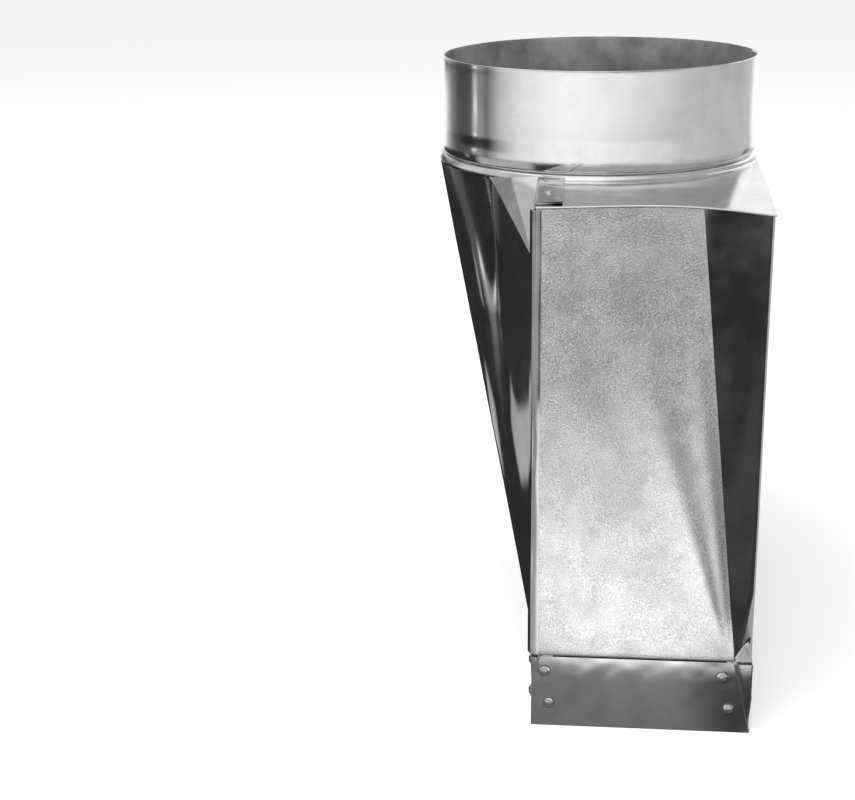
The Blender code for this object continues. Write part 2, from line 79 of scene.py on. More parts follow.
# body
BODY_Z = 0.0366  # where it comes out over the spigot
NECK_Z = 0.2446  # top plates at the neck
EDGE_Z = 0.2437  # top plates at the middle of their outer edge
CREASE_TOP = 0.030  # the slanting crease, from the flush side, at the neck
CORNER_LOW, CORNER_HIGH = 0.008, 0.0055  # the flush side's bent corner, at spigot and neck
SEAM_Y = FRONT_Y + 0.0015  # corner where the wrap and its lock strip meet
PLATE_Y = FRONT_Y - 0.0006  # outer edge of the top plates
UNDER_Y = FRONT_Y + LAYER + 0.0005  # flush side sheet where it laps under the panels
LIP = ((0.022, 0.0022), (0.030, 0.0022))  # lip inside the spigot, as (height, how far set in)
LIP_SETBACK = 0.009  # the lips stop this far short of a corner
OUTLINE_X, OUTLINE_Y = -0.0765, -0.12645  # no bend of the taper side goes past these
SHARP_ANGLE = 40.0  # degrees; a flatter fold is shaded smooth

# swellings on a broad panel: middle x and z, half widths in x and z, height
SWELLS = (
    (0.022, 0.062, 0.013, 0.015, 0.0005),
    (-0.012, 0.163, 0.014, 0.018, 0.0005),
    (0.006, 0.212, 0.017, 0.014, 0.0003),
)
# folds fanning out of its flush lower corner: degrees from upright, half width, height
FOLDS = ((17.5, 4.5, 0.00095), (7.5, 2.4, 0.00045))

# --- camera ---
LENS, SENSOR = 68.63158, 36.0  # millimetres
CAMERA_PLACE = (0.0034, -0.7941, 0.3793)
CAMERA_PITCH, CAMERA_YAW, CAMERA_ROLL = -18.27, 6.347, -0.866  # degrees


def place_camera():
    """In front, a little above the rim and turned a little to the left."""
    data = bpy.data.cameras.new("camera")
    data.sensor_width = SENSOR
    data.lens = LENS
    data.clip_start, data.clip_end = 0.05, 50
    camera = add_object("camera", data)
    turn = (
        Matrix.Rotation(math.radians(CAMERA_YAW), 4, "Z")
        @ Matrix.Rotation(math.radians(90 + CAMERA_PITCH), 4, "X")
        @ Matrix.Rotation(math.radians(CAMERA_ROLL), 4, "Z")
    )
    camera.matrix_world = Matrix.Translation(CAMERA_PLACE) @ turn
    bpy.context.scene.camera = camera


# --- nodes and finishes ---
def linear(hex_colour):
    """An sRGB hex colour as linear RGBA."""
    values = [int(hex_colour[i:i + 2], 16) / 255 for i in (1, 3, 5)]
    values = [v / 12.92 if v <= 0.04045 else ((v + 0.055) / 1.055) ** 2.4 for v in values]
    return (*values, 1.0)


def add_node(tree, kind, inputs=None, **settings):
    """Adds a node. An input is a value, a socket, or a node whose first output it takes."""
    node = tree.nodes.new(kind)
    for name, value in settings.items():
        setattr(node, name, value)
    for key, value in (inputs or {}).items():
        if isinstance(value, bpy.types.Node):
            value = value.outputs[0]
        if isinstance(value, bpy.types.NodeSocket):
            tree.links.new(value, node.inputs[key])
        else:
            node.inputs[key].default_value = value
    return node


def new_material(name):
    """An empty node material and its tree."""
    mat = bpy.data.materials.new(name)
    mat.use_nodes = True
    mat.node_tree.nodes.clear()
    return mat, mat.node_tree


def closing_metal(tree, share, dark, pale, finish):
    """Ends a metal: its colour goes from dark to pale by share."""
    colour = add_node(tree, "ShaderNodeMix", {
        "Factor": share, 6: linear(dark), 7: linear(pale)}, data_type="RGBA").outputs[2]
    shader = add_node(tree, "ShaderNodeBsdfPrincipled", {"Base Color": colour, **finish})
    add_node(tree, "ShaderNodeOutputMaterial", {"Surface": shader})


def galvanised_bright():
    """Bright hot-dip galvanised sheet: mirror-like zinc that 9 mm blooms and 45 mm clouds
    tint and dull a little.

    The rolled grain of about 0.1 mm is too fine to show, so it is drawn at 0.9 mm.
    """
    mat, tree = new_material("galvanised_bright")
    place = add_node(tree, "ShaderNodeTexCoord").outputs["Object"]
    bloom = add_node(tree, "ShaderNodeTexNoise", {
        "Vector": place, "Scale": 1 / 0.009, "Detail": 3.0, "Roughness": 0.55})
    cloud = add_node(tree, "ShaderNodeTexNoise", {
        "Vector": place, "Scale": 1 / 0.045, "Detail": 2.0})
    grain = add_node(tree, "ShaderNodeTexNoise", {
        "Vector": place, "Scale": 1 / 0.0009, "Detail": 1.0})
    both = add_node(tree, "ShaderNodeMath", {0: bloom, 1: 0.6, 2: cloud}, operation="MULTIPLY_ADD")
    tint = add_node(tree, "ShaderNodeMapRange", {"Value": both, "From Min": 0.6, "From Max": 1.0})
    rough = add_node(tree, "ShaderNodeMapRange", {
        "Value": both, "From Min": 0.6, "From Max": 1.0, "To Min": 0.08, "To Max": 0.15})
    bump = add_node(tree, "ShaderNodeBump", {
        "Height": grain, "Strength": 0.08, "Distance": 0.00002})
    closing_metal(tree, tint, "#D2D2D2", "#EAEAEA", {
        "Metallic": 1.0, "Roughness": rough, "Normal": bump})
    return mat


def galvanised_matt():
    """Skin-passed galvanised sheet: a dull, evenly grained zinc that scatters what it mirrors,
    with 8 mm clouds.

    The grain of about 0.1 mm is too fine to show, so it is drawn at 0.5 mm.
    """
    mat, tree = new_material("galvanised_matt")
    place = add_node(tree, "ShaderNodeTexCoord").outputs["Object"]
    grain = add_node(tree, "ShaderNodeTexNoise", {
        "Vector": place, "Scale": 1 / 0.0005, "Detail": 0.0})
    cloud = add_node(tree, "ShaderNodeTexNoise", {
        "Vector": place, "Scale": 1 / 0.008, "Detail": 3.0})
    mixed = add_node(tree, "ShaderNodeMath", {
        0: cloud, 1: 0.6, 2: grain}, operation="MULTIPLY_ADD")
    tint = add_node(tree, "ShaderNodeMapRange", {"Value": mixed, "From Min": 0.5, "From Max": 1.1})
    bump = add_node(tree, "ShaderNodeBump", {
        "Height": grain, "Strength": 1.0, "Distance": 0.00008})
    closing_metal(tree, tint, "#C2C2C2", "#FFFFFF", {
        "Metallic": 1.0, "Roughness": 0.28, "Normal": bump})
    return mat


def galvanised_dull():
    """The collar's inside: the same zinc, rougher, so that it greys whatever it mirrors, in clouds
    of 24 mm;
    its colour is darker than outside, as painted shade inside the collar.
    """
    mat, tree = new_material("galvanised_dull")
    place = add_node(tree, "ShaderNodeTexCoord").outputs["Object"]
    cloud = add_node(tree, "ShaderNodeTexNoise", {
        "Vector": place, "Scale": 1 / 0.024, "Detail": 4.0, "Roughness": 0.6})
    tint = add_node(tree, "ShaderNodeMapRange", {
        "Value": cloud, "From Min": 0.35, "From Max": 0.65})
    rough = add_node(tree, "ShaderNodeMapRange", {
        "Value": cloud, "From Min": 0.3, "From Max": 0.7, "To Min": 0.5, "To Max": 0.34})
    # darker tint than the outside zinc: painted shade inside the collar
    closing_metal(tree, tint, "#A2A2A2", "#E4E4E4", {"Metallic": 0.85, "Roughness": rough})
    return mat


def rivet_steel():
    """Plain drawn steel: bright, in 1.2 mm patches a little dulled by the setting tool."""
    mat, tree = new_material("rivet_steel")
    place = add_node(tree, "ShaderNodeTexCoord").outputs["Object"]
    wear = add_node(tree, "ShaderNodeTexNoise", {
        "Vector": place, "Scale": 1 / 0.0012, "Detail": 3.0})
    rough = add_node(tree, "ShaderNodeMapRange", {"Value": wear, "To Min": 0.08, "To Max": 0.2})
    closing_metal(tree, wear, "#A8A8A8", "#DCDCDC", {"Metallic": 1.0, "Roughness": rough})
    return mat


# --- making and finishing pieces ---
def clamp(t):
    return min(max(t, 0.0), 1.0)


def lerp(a, b, t):
    return a + (b - a) * t


def ease(t):
    t = clamp(t)
    return t * t * (3 - 2 * t)


def bell(t):
    return math.exp(-t * t)


def span(a, b, count):
    """Values from a to b in even steps, both ends included."""
    return [lerp(a, b, i / count) for i in range(count + 1)]


def polar(radius, degrees, z):
    a = math.radians(degrees)
    return Vector((radius * math.cos(a), radius * math.sin(a), z))


def ripple(x, y, z, seed):
    """Soft noise, -1 to 1, for the dents and waves of thin sheet."""
    return noise.noise(Vector((x + 31.7 * seed, y, z)))


def mirrored(rows):
    """The back's grid of points for the front's, its rows reversed."""
    return [[Vector((p.x, -p.y, p.z)) for p in reversed(row)] for row in rows]


def softened(points, radius, count):
    """A polyline in even steps, its corners rounded off; its two ends stay."""
    p = np.array(points, float)
    along = np.concatenate(([0.0], np.cumsum(np.linalg.norm(np.diff(p, axis=0), axis=1))))
    places = np.linspace(0.0, along[-1], count + 1)
    p = np.stack([np.interp(places, along, p[:, k]) for k in range(3)], 1)
    step = max(along[-1] / count, 1e-6)
    reach = min(int(3 * radius / step) + 1, count - 1)
    weights = np.exp(-0.5 * (np.arange(-reach, reach + 1) * step / radius) ** 2)
    weights /= weights.sum()
    padded = np.concatenate((2 * p[0] - p[reach:0:-1], p, 2 * p[-1] - p[-2:-reach - 2:-1]))
    smooth = [np.convolve(padded[:, k], weights, "valid") for k in range(3)]
    return [Vector(q) for q in np.stack(smooth, 1)]


def add_object(name, data):
    obj = bpy.data.objects.new(name, data)
    bpy.context.collection.objects.link(obj)
    return obj


def plain_mesh(obj):
    """Takes the modifiers' result as the object's own mesh, and drops them."""
    graph = bpy.context.evaluated_depsgraph_get()
    graph.update()
    mesh = bpy.data.meshes.new_from_object(obj.evaluated_get(graph))
    obj.modifiers.clear()
    obj.data = mesh
    return obj


def finished(obj, mat, nodes):
    """Gives a piece its finish, hangs it on the root body and hides the CAD parts it stands for.
    """
    if len(obj.data.materials) < 2:
        obj.data.materials.clear()
        obj.data.materials.append(mat)
    obj.data.shade_smooth()
    obj.data.set_sharp_from_angle(angle=math.radians(SHARP_ANGLE))
    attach(obj, "root")
    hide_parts(*nodes)
    return obj


def faces_outward(bm):
    """Turns an open sheet so that most of it looks away from the duct's inside."""
    total = sum((f.calc_center_median() - INSIDE).dot(f.normal) * f.calc_area() for f in bm.faces)
    if total < 0:
        bmesh.ops.reverse_faces(bm, faces=bm.faces)


def walled(obj, edge_width=CUT_EDGE, thickness=SHEET, inner_slot=0):
    """Gives an open sheet its thickness, inward, and eases its cut edges."""
    wall = obj.modifiers.new("wall", "SOLIDIFY")
    wall.thickness = thickness
    wall.offset = -1.0
    wall.material_offset = inner_slot
    edge = obj.modifiers.new("edge", "BEVEL")
    edge.width = edge_width
    edge.segments = 1
    edge.limit_method = "ANGLE"
    edge.angle_limit = math.radians(60)
    return plain_mesh(obj)


def grid_faces(bm, rows):
    """Adds a grid of points, and the faces between them."""
    verts = [[bm.verts.new(p) for p in row] for row in rows]
    return [bm.faces.new((low[i], low[i + 1], high[i + 1], high[i]))
            for low, high in zip(verts, verts[1:]) for i in range(len(low) - 1)]


def sheet(name, patches, mat, nodes, back=False,
          edge_width=CUT_EDGE, thickness=SHEET):
    """Sheet metal from patches, each a grid of points on its outer face."""
    bm = bmesh.new()
    for rows in patches:
        grid_faces(bm, mirrored(rows) if back else rows)
    bmesh.ops.remove_doubles(bm, verts=bm.verts, dist=0.00001)
    bmesh.ops.recalc_face_normals(bm, faces=bm.faces)
    bm.normal_update()
    faces_outward(bm)
    mesh = bpy.data.meshes.new(name)
    bm.to_mesh(mesh)
    bm.free()
    obj = walled(add_object(name, mesh), edge_width, thickness)
    return finished(obj, mat, nodes)


# --- turned and repeated pieces: Geometry Nodes ---
def new_tree(name, sockets):
    """A geometry tree with named inputs, and the sockets that give them."""
    tree = bpy.data.node_groups.new(name, "GeometryNodeTree")
    tree.interface.new_socket(name="Geometry", in_out="OUTPUT", socket_type="NodeSocketGeometry")
    for label, kind in (("Geometry", "NodeSocketGeometry"), *sockets):
        tree.interface.new_socket(name=label, in_out="INPUT", socket_type=kind)
    return tree, add_node(tree, "NodeGroupInput").outputs


def closing_nodes(tree, geometry, mat):
    """Ends a tree: real geometry with its material, as the export needs."""
    real = add_node(tree, "GeometryNodeRealizeInstances", {"Geometry": geometry})
    painted = add_node(tree, "GeometryNodeSetMaterial", {"Geometry": real, "Material": mat})
    add_node(tree, "NodeGroupOutput", {0: painted})


def turning_tree():
    """Sweeps a profile, x outward and y down, round the Z axis, as a roll former does.

    From the angle Joggle to one full turn the sheet steps inward by Step, for a lapped seam.
    Waviness is the height of its soft waves from trough to crest, Waves their count in a metre.
    """
    tree, given = new_tree("turned_sheet", (
        ("Radius", "NodeSocketFloat"), ("Turn", "NodeSocketFloat"), ("Steps", "NodeSocketInt"),
        ("Joggle", "NodeSocketFloat"), ("Step", "NodeSocketFloat"),
        ("Waviness", "NodeSocketFloat"), ("Waves", "NodeSocketFloat"),
        ("Seed", "NodeSocketFloat"), ("Material", "NodeSocketMaterial"),
    ))
    profile = add_node(tree, "GeometryNodeMeshToCurve", {"Mesh": given["Geometry"]})
    line = add_node(tree, "GeometryNodeCurvePrimitiveLine")
    path = add_node(tree, "GeometryNodeResampleCurve", {"Curve": line, "Count": given["Steps"]})
    along = add_node(tree, "GeometryNodeSplineParameter")
    angle = add_node(tree, "ShaderNodeMath", {0: along, 1: given["Turn"]}, operation="MULTIPLY")
    stepped = add_node(tree, "ShaderNodeMapRange", {
        "Value": angle, "From Min": given["Joggle"], "From Max": math.tau,
        "To Max": given["Step"]}, interpolation_type="SMOOTHSTEP")
    radius = add_node(tree, "ShaderNodeMath", {
        0: given["Radius"], 1: stepped}, operation="SUBTRACT")
    cosine = add_node(tree, "ShaderNodeMath", {0: angle}, operation="COSINE")
    sine = add_node(tree, "ShaderNodeMath", {0: angle}, operation="SINE")
    bearing = add_node(tree, "ShaderNodeCombineXYZ", {0: cosine, 1: sine})
    place = add_node(tree, "ShaderNodeVectorMath", {
        0: bearing, "Scale": radius}, operation="SCALE")
    path = add_node(tree, "GeometryNodeSetPosition", {"Geometry": path, "Position": place})
    swept = add_node(tree, "GeometryNodeCurveToMesh", {"Curve": path, "Profile Curve": profile})
    swept = add_node(tree, "GeometryNodeMergeByDistance", {"Geometry": swept, "Distance": 0.00001})

    spot = add_node(tree, "GeometryNodeInputPosition")
    low = add_node(tree, "ShaderNodeVectorMath", {
        0: spot, 1: (1.0, 1.0, 0.3)}, operation="MULTIPLY")
    waves = add_node(tree, "ShaderNodeTexNoise", {
        "Vector": low, "W": given["Seed"], "Scale": given["Waves"], "Detail": 1.0},
        noise_dimensions="4D")
    centred = add_node(tree, "ShaderNodeMath", {0: waves, 1: 0.5}, operation="SUBTRACT")
    height = add_node(tree, "ShaderNodeMath", {
        0: centred, 1: given["Waviness"]}, operation="MULTIPLY")
    flat = add_node(tree, "ShaderNodeVectorMath", {
        0: spot, 1: (1.0, 1.0, 0.0)}, operation="MULTIPLY")
    outward = add_node(tree, "ShaderNodeVectorMath", {0: flat}, operation="NORMALIZE")
    push = add_node(tree, "ShaderNodeVectorMath", {0: outward, "Scale": height}, operation="SCALE")
    moved = add_node(tree, "GeometryNodeSetPosition", {"Geometry": swept, "Offset": push})
    closing_nodes(tree, moved, given["Material"])
    return tree


def riveting_tree():
    """Sets a rivet on every point, along the point's axis, each turned a little differently."""
    tree, given = new_tree("rivets", (
        ("Rivet", "NodeSocketObject"), ("Seed", "NodeSocketInt"), ("Lean", "NodeSocketFloat"),
        ("Material", "NodeSocketMaterial"),
    ))
    rivet = add_node(tree, "GeometryNodeObjectInfo", {"Object": given["Rivet"]})
    axis = add_node(tree, "GeometryNodeInputNamedAttribute", {
        "Name": "axis"}, data_type="FLOAT_VECTOR")
    lean = add_node(tree, "FunctionNodeRandomValue", {
        "Min": (-1.0, -1.0, -1.0), "Max": (1.0, 1.0, 1.0), "Seed": given["Seed"]},
        data_type="FLOAT_VECTOR")
    lean = add_node(tree, "ShaderNodeVectorMath", {
        0: lean, "Scale": given["Lean"]}, operation="SCALE")
    along = add_node(tree, "ShaderNodeVectorMath", {0: axis, 1: lean}, operation="ADD")
    upright = add_node(tree, "FunctionNodeAlignRotationToVector", {"Vector": along}, axis="Z")
    spin = add_node(tree, "FunctionNodeRandomValue", {
        "Max": math.tau, "Seed": given["Seed"]}, data_type="FLOAT").outputs[1]
    spin = add_node(tree, "ShaderNodeCombineXYZ", {2: spin})
    turned = add_node(tree, "FunctionNodeRotateRotation", {
        "Rotation": upright, "Rotate By": spin}, rotation_space="LOCAL")
    placed = add_node(tree, "GeometryNodeInstanceOnPoints", {
        "Points": given["Geometry"], "Instance": rivet.outputs["Geometry"], "Rotation": turned})
    closing_nodes(tree, placed, given["Material"])
    return tree


def run_tree(obj, tree, values):
    """Sets the tree's named inputs and takes its result as a plain mesh."""
    modifier = obj.modifiers.new(tree.name, "NODES")
    modifier.node_group = tree
    for item in tree.interface.items_tree:
        if item.in_out == "INPUT" and item.name in values:
            modifier[item.identifier] = values[item.name]
    return plain_mesh(obj)


def turned(name, tree, profile, closed, values):
    """A turned piece from its profile's points, each (radius, height)."""
    count = len(profile)
    edges = [(i, (i + 1) % count) for i in range(count if closed else count - 1)]
    mesh = bpy.data.meshes.new(name)
    mesh.from_pydata([(r - values["Radius"], -z, 0) for r, z in profile], edges, [])
    obj = run_tree(add_object(name, mesh), tree, values)
    bm = bmesh.new()
    bm.from_mesh(obj.data)
    bmesh.ops.recalc_face_normals(bm, faces=bm.faces)
    bm.normal_update()
    if values["Turn"] > math.tau:  # an open sheet, lapped at its seam
        faces_outward(bm)
    bm.to_mesh(obj.data)
    bm.free()
    return obj


# --- round end ---
def round_collar(tree, mat, inside):
    """Collar from the rim down: a hand-cut rim, straight wall, bead, groove and inner lip."""
    wall = COLLAR_RADIUS - 0.0006
    profile = [(wall + 0.00015, RIM_Z - 0.0001)]
    for z in span(RIM_Z - 0.001, BEAD_START, 20):
        profile.append((wall + 0.0001 * bell((RIM_Z - z) / 0.008), z))
    for z in span(0.260, 0.2524, 9):
        profile.append((wall + 0.00035 * ease((BEAD_START - z) / 0.0086), z))
    # bead, groove and step, as (outward from the wall, height)
    profile += [(wall + outward, z) for outward, z in (
        (0.00036, 0.2518), (0.00036, 0.2512), (0.00035, 0.2506), (0.00033, 0.25),
        (0.00029, 0.2494), (0.00024, 0.2488), (0.00017, 0.2482), (0.00007, 0.2477),
        (-0.00007, 0.2472), (-0.0004, 0.2468), (-0.0008, 0.2465),
    )]
    profile += [(LIP_RADIUS, z) for z in (0.2459, *span(0.2448, LIP_Z, 3))]
    obj = turned("collar", tree, profile, False, {
        "Radius": COLLAR_RADIUS, "Turn": math.tau + SEAM_LAP / COLLAR_RADIUS, "Steps": 264,
        "Joggle": math.tau - SEAM_JOGGLE / COLLAR_RADIUS, "Step": LAYER,
        "Waviness": 0.0002, "Waves": 1 / 0.022, "Seed": 3.0, "Material": mat})
    obj.data.materials.append(inside)
    walled(obj, inner_slot=1)
    return finished(obj, mat, ["round_collar"])


def neck_ring(tree, mat):
    """The rolled ring that grips the collar's lip and the body's upper edge."""
    inner, outer = LIP_RADIUS + GAP, RING_CREST - 0.00008
    bend_z = RING_HIGH - 0.0006
    profile = [(inner, RING_LOW), (inner, RING_HIGH), (outer - 0.0014, RING_HIGH),
               (outer - 0.00115, RING_HIGH - 0.0002), (outer - 0.0009, bend_z)]
    profile += [(outer - 0.0009 * (1 - t) ** 1.3, lerp(bend_z, RING_LOW + 0.0006, t))
                for t in span(0.0, 1.0, 8)[1:]]
    profile += [(outer - 0.00008, RING_LOW + 0.0003), (outer - 0.0003, RING_LOW + 0.00006),
                (outer - 0.0005, RING_LOW)]
    obj = turned("neck_ring_rolled", tree, profile, True, {
        "Radius": COLLAR_RADIUS, "Turn": math.tau, "Steps": 265, "Joggle": 0.0, "Step": 0.0,
        "Waviness": 0.00012, "Waves": 1 / 0.012, "Seed": 8.0, "Material": mat})
    return finished(obj, mat, ["neck_ring"])


# --- body ---
def edge_height(x):
    """Outer edge of the top plates: arched, lowest at the flush corner."""
    t = clamp((x - TAPER_X) / (FLUSH_X - TAPER_X))
    rise = math.sin(math.pi * t)
    return EDGE_Z - lerp(0.0012, 0.0037, t ** 2) * (1.0 - rise ** 1.3)


def plate_height(x, t):
    """Top plate from the neck (t 0) to its outer edge (t 1): nearly flat, dipping at the end."""
    return lerp(NECK_Z, edge_height(x), t ** 1.8)


def crease_x(z):
    """The slanting crease where a broad panel ends and the flush side's bend begins."""
    return FLUSH_X - lerp(FLUSH_CUT, CREASE_TOP, (z - BAND_TOP) / (NECK_Z - BAND_TOP))


def corner_in(z):
    """How far behind the broad panels the flat of the flush side begins."""
    return lerp(CORNER_LOW, CORNER_HIGH, (z - BAND_TOP) / (NECK_Z - BAND_TOP))


def panel_depth(x, z):
    """Hollow of a broad panel, with soft folds fanning out of its flush lower corner."""
    across = clamp((x - TAPER_X) / (crease_x(z) - TAPER_X))
    up = clamp((z - BODY_Z) / (EDGE_Z - BODY_Z))
    hollow = math.sin(math.pi * across) ** 0.8 * math.sin(math.pi * up) ** 0.8
    corner_x, corner_z = FLUSH_X - 0.0105, BODY_Z - 0.002
    turn = math.degrees(math.atan2(corner_x - x, z - corner_z))
    reach = math.hypot(corner_x - x, z - corner_z)
    fade = ease(reach / 0.03) * (1.0 - ease((reach - 0.1) / 0.11))
    folds = sum(high * bell((turn - middle) / wide) for middle, wide, high in FOLDS)
    dents = 0.00035 * ripple(x * 30, 7.0, z * 18, 0)
    margin = clamp(1 - (crease_x(z) - x) / 0.012)
    rolled = 0.0009 * margin ** 2 * clamp((0.19 - z) / 0.09) * clamp((z - 0.042) / 0.02)
    swell = sum(high * bell((x - x0) / wide) * bell((z - z0) / tall)
                for x0, z0, wide, tall, high in SWELLS)
    return hollow * (0.0016 + dents) - folds * fade * hollow ** 0.5 + rolled - swell


def broad_panel(name, mat, back, nodes):
    """Front or back panel: lip inside the spigot, step, hollow panel and top flange."""
    left = TAPER_X + LAYER
    shares = span(0.0, 1.0, 72)
    rows = []
    step = ((0.0348, 0.0022), (0.0352, 0.0020), (0.0355, 0.0012), (0.0357, 0.0004),
            (0.0360, 0.0001))
    for z, inward in (*LIP, *step):
        ends = (left, crease_x(BODY_Z))
        if inward > 0.001:
            ends = (left + LIP_SETBACK, crease_x(BODY_Z) - 0.003)
        rows.append([Vector((lerp(*ends, t), FRONT_Y + inward, z)) for t in shares])
    for j in span(0.0, 1.0, 96):
        row = []
        for t in shares:
            top = edge_height(lerp(left, crease_x(EDGE_Z), t)) - LAYER
            z = lerp(BODY_Z, top, j)
            x = lerp(left, crease_x(z), t)
            row.append(Vector((x, FRONT_Y + panel_depth(x, z), z)))
        rows.append(row)
    rows.append([p + Vector((0, 0.003, 0)) for p in rows[-1]])
    return sheet(name, [rows], mat, nodes, back)


def plate_edge(x):
    """Front edge of the neck's hole in the top plates."""
    return -math.sqrt(NECK_RADIUS ** 2 - x * x)


def top_plate(name, mat, back, nodes):
    """Flat shelf from the neck to the panel, drawn up in a small fillet at the neck."""
    first = math.acos((TAPER_X + LAYER) / NECK_RADIUS)
    last = math.acos(FLUSH_X / NECK_RADIUS)
    fillet, lift, edge_bend = 0.0016, 0.0015, 0.0006
    rows = [("neck", step, lift * (1 - math.sin(math.pi / 2 * step)) ** 1.2)
            for step in (0.0, 0.06, 0.14, 0.25, 0.4, 0.6, 0.8, 1.0)]
    rows += [("shelf", step, 0.0) for step in span(0.0, 1.0, 30)[1:]]
    rows += [("edge", turn, 0.0) for turn in (10, 22, 35, 48, 62, 76)]
    grid = []
    for kind, value, raised in rows:
        row = []
        for a in span(first, last, 90):
            x = NECK_RADIUS * math.cos(a)
            near = plate_edge(x)
            out = near - PLATE_Y
            if kind == "neck":
                out = fillet * value
            elif kind == "shelf":
                out = lerp(fillet, near - PLATE_Y, value)
            t = out / (near - PLATE_Y)
            y = near - out
            z = plate_height(x, t) + raised
            inside = math.sin(math.pi * clamp(t)) ** 0.5
            calm = 1 - ease((x + 0.005) / 0.035) * 0.8
            z += 0.0001 * inside * ripple(x * 150, y * 110, 0.0, 2 + back) * calm
            z += 0.00025 * inside * ripple(x * 38, y * 38, 0.0, 5 + back)
            if kind == "edge":
                y -= edge_bend * math.sin(math.radians(value))
                z -= edge_bend * (1 - math.cos(math.radians(value)))
            row.append(Vector((x, y, z)))
        grid.append(row)
    grid.reverse()
    return sheet(name, [grid], mat, nodes, back, edge_width=FINE_EDGE)


# --- flush side ---
CORNER_POINTS = 34  # points of a level up to the turn of its corner


def side_top(x, y):
    """Underside of the top plates and of the ring, where the flush side ends."""
    plate = plate_height(min(x, FLUSH_X), clamp(y / FRONT_Y))
    return min(plate - LAYER, RING_LOW - GAP)


def square_corner(along, start, edge):
    """Place on the spigot's square corner of a point that is a share along the slanting one."""
    front, turn = FRONT_Y + 0.0012, FLUSH_X - 0.0003
    if along < 0.5:
        return Vector((lerp(start, turn, along * 2), lerp(UNDER_Y, front, min(1.0, along * 5)), 0))
    return Vector((lerp(turn, FLUSH_X, along * 2 - 1), lerp(front, edge, along * 2 - 1), 0))


def flush_level(height, rounding):
    """Front half of one level of the flush side, from under the panel to the middle."""
    crease, edge = crease_x(height), FRONT_Y + corner_in(height)
    bent = lerp(0.2, 0.96, clamp((height - 0.038) / 0.03))
    knee = (lerp(crease, FLUSH_X, bent), lerp(UNDER_Y, edge, 0.72 * bent), 0)
    flat = edge + 0.04
    bend = softened([(crease, UNDER_Y, 0), knee, (FLUSH_X, edge, 0), (FLUSH_X, flat, 0)],
                    rounding, 84)
    points = [Vector((crease - 0.009, UNDER_Y, 0)), *bend]
    points += [Vector((FLUSH_X, y, 0)) for y in span(flat, 0.0, 12)[1:]]
    return points


def flush_shape(p, k, z, low, crease, edge):
    """A point of the bend with its waves, its square lower corner and its lean at the top."""
    calm = clamp((k - 1) / 10) * (1 - ease((z - 0.196) / 0.046))
    waves = 0.00016 * ripple(p.x * 110, p.y * 50, z * 6, 11)
    waves += 0.00045 * ripple(p.x * 45, p.y * 25, z * 9, 12)
    waves = min(calm * waves, 0.0006) * (1 - clamp(1 - (z - BODY_Z) / 0.006))
    away = Vector((0.45, -0.89, 0)) if k < CORNER_POINTS else Vector((1, -0.1, 0))
    along = clamp((p.x - crease) / (FLUSH_X - crease))
    if 0.0 < along < 1.0:
        squared = clamp(1 - (z - low) / (0.0005 + 0.011 * along))
        p = p.lerp(square_corner(along, crease, edge), squared)
    lean = (0.0006 * clamp((z - 0.222) / 0.022) ** 2
            * clamp((k - 1) / 6) * clamp((CORNER_POINTS - k) / 8))
    p = p + away * (waves + lean)
    p.x = min(p.x, FLUSH_X + 0.0012)
    return p


def flush_side_sheet(mat):
    """Flush side: bent round both corners, square at their foot, lapped under the panels."""
    rows = []
    for j in span(0.0, 0.06, 26) + span(0.06, 1.0, 90)[1:]:
        height = lerp(BODY_Z, EDGE_Z, j)
        row = []
        for k, p in enumerate(flush_level(height, lerp(0.0012, 0.0006, j))):
            lapped = k < 2
            pinch = clamp((FRONT_Y + 0.0095 - p.y) / 0.0015)
            low = BODY_Z + (0.0018 if lapped else -0.0013 * pinch)
            z = lerp(low, side_top(p.x, p.y) - (LAYER if lapped else 0.0), j)
            if k > 0:
                p = flush_shape(p, k, z, low, crease_x(height), FRONT_Y + corner_in(height))
            row.append(Vector((p.x, p.y, z)))
        rows.append(row + mirrored([row[:-1]])[0])
    end = -FRONT_Y - LIP_SETBACK
    lips = [[Vector((FLUSH_X - inward, min(max(p.y, -end), end), z)) for p in rows[0]]
            for z, inward in (*LIP, (0.0349, 0.0022), (0.0353, 0.0018))]
    first = next(i for i, p in enumerate(rows[0]) if p.y > -end)
    lips = [row[first:len(row) - first] for row in (*lips, rows[0])]
    return sheet("flush_side", [lips, rows], mat, ["flush_side_panel"])


# --- taper wrap ---
WRAP_TOP = RING_LOW - GAP
WRAP_NECK = NECK_RADIUS + SHEET
WRAP_CORNER = edge_height(TAPER_X) + LAYER
SHOULDER_DROP = 0.024  # the shoulder starts this far under the upper corner
SHOULDER_TURN = 231.0  # degrees round the neck at which it ends
SHOULDER_STEPS = (12, 14, 40, 4)  # points: to the neck, the plate, along the flap, the seam
FOOT_Z = WRAP_CORNER - SHOULDER_DROP
FOOT_SHARE = (FOOT_Z - BODY_Z) / (WRAP_TOP - BODY_Z)
SHOULDER_FOOT = Vector((TAPER_X, SEAM_Y, FOOT_Z))
FOOT_LEVELS = 110  # levels of the main sheet under the shoulder
WRAP_POINTS = 130  # points of a level
TAB_Y = FRONT_Y + 0.0024  # outer edge of the flap on the top plate
TAB_WIDTH = 0.012


